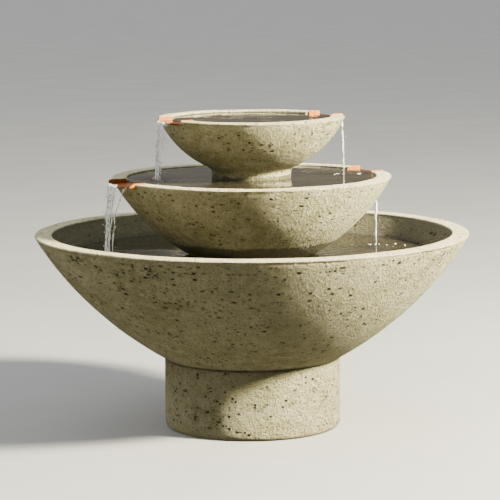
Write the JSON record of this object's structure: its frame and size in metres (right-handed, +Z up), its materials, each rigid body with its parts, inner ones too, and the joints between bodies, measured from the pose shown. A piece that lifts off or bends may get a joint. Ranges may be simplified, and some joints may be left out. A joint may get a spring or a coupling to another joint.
{
  "type": "tiered water fountain",
  "caption": "Three nested round stone bowls on a drum pedestal; copper rim spouts let recirculated water fall from tier to tier.",
  "frame": {"origin": "on the ground, at the centre of the pedestal's foot", "axes": "+Z up along the bowls' common axis, the front at -Y, the left spouts at -X and towards the front"},
  "size_m": [1.14, 1.14, 0.822],
  "materials": {
    "cast_stone": "pitted olive-cream cast stone, smooth paler rims",
    "riser_stone": "rough cast stone, wet",
    "copper": "bent copper sheet, lightly tarnished",
    "pipe_copper": "drawn copper tube, dull",
    "black_rubber": "matte moulded rubber",
    "pump_housing": "fine-textured moulded plastic",
    "grey_plastic": "moulded plastic",
    "impeller_plastic": "moulded plastic",
    "vinyl_hose": "flexible smoked vinyl",
    "filter_foam": "open-cell foam",
    "stainless_steel": "stainless steel",
    "core_steel": "laminated electrical steel",
    "enamelled_winding": "enamelled copper wire",
    "ferrite": "sintered ferrite",
    "shaft_ceramic": "ground ceramic"
  },
  "bodies": {
    "fountain": {"pedestal": "cast_stone", "lower_bowl": "cast_stone", "middle_bowl": "cast_stone", "upper_bowl": "cast_stone", "lower_riser": "riser_stone", "upper_riser": "riser_stone", "middle_spout_left": "copper", "middle_spout_right": "copper", "upper_spout_left": "copper", "upper_spout_right": "copper", "riser_pipe": "pipe_copper", "diffuser_cap": "pipe_copper", "cord_stopper": "black_rubber", "middle_bowl_grommet": "black_rubber", "bulkhead_gasket": "black_rubber", "outlet_o_ring": "black_rubber", "cord_gland": "black_rubber", "rear_bush": "black_rubber", "front_bush": "black_rubber", "pump_foot_1": "black_rubber", "pump_foot_2": "black_rubber", "pump_foot_3": "black_rubber", "pump_foot_4": "black_rubber", "pump_body": "pump_housing", "motor_back_cover": "pump_housing", "outlet_adapter": "pump_housing", "bulkhead_fitting": "pump_housing", "bulkhead_nut": "pump_housing", "levelling_shim_1": "grey_plastic", "levelling_shim_2": "grey_plastic", "levelling_shim_3": "grey_plastic", "volute_cover": "grey_plastic", "supply_hose": "vinyl_hose", "hose_clamp_lower": "stainless_steel", "hose_clamp_upper": "stainless_steel", "clamp_screw_lower": "stainless_steel", "clamp_screw_upper": "stainless_steel", "back_cover_screw_1": "stainless_steel", "back_cover_screw_2": "stainless_steel", "back_cover_screw_3": "stainless_steel", "back_cover_screw_4": "stainless_steel", "stator_core": "core_steel", "stator_coil_left": "enamelled_winding", "stator_coil_right": "enamelled_winding", "rotor_shaft": "shaft_ceramic"},
    "impeller": {"impeller": "impeller_plastic", "rotor_magnet": "ferrite"},
    "intake_grille": {"intake_grille": "pump_housing", "filter_sponge": "filter_foam"},
    "flow_dial": {"flow_dial": "grey_plastic"}
  },
  "joints": [
    {"name": "impeller_spin", "type": "hinge", "parent": "fountain", "child": "impeller", "pos_m": [0, 0, 0.2798], "axis": [0, -1, 0], "continuous": true},
    {"name": "intake_grille_pull", "type": "slide", "parent": "fountain", "child": "intake_grille", "axis": [0, -1, 0], "range_m": [0, 0.045]},
    {"name": "flow_dial_turn", "type": "hinge", "parent": "intake_grille", "child": "flow_dial", "pos_m": [0, -0.048, 0.2798], "axis": [0, -1, 0], "range_deg": [0, 90]}
  ]
}
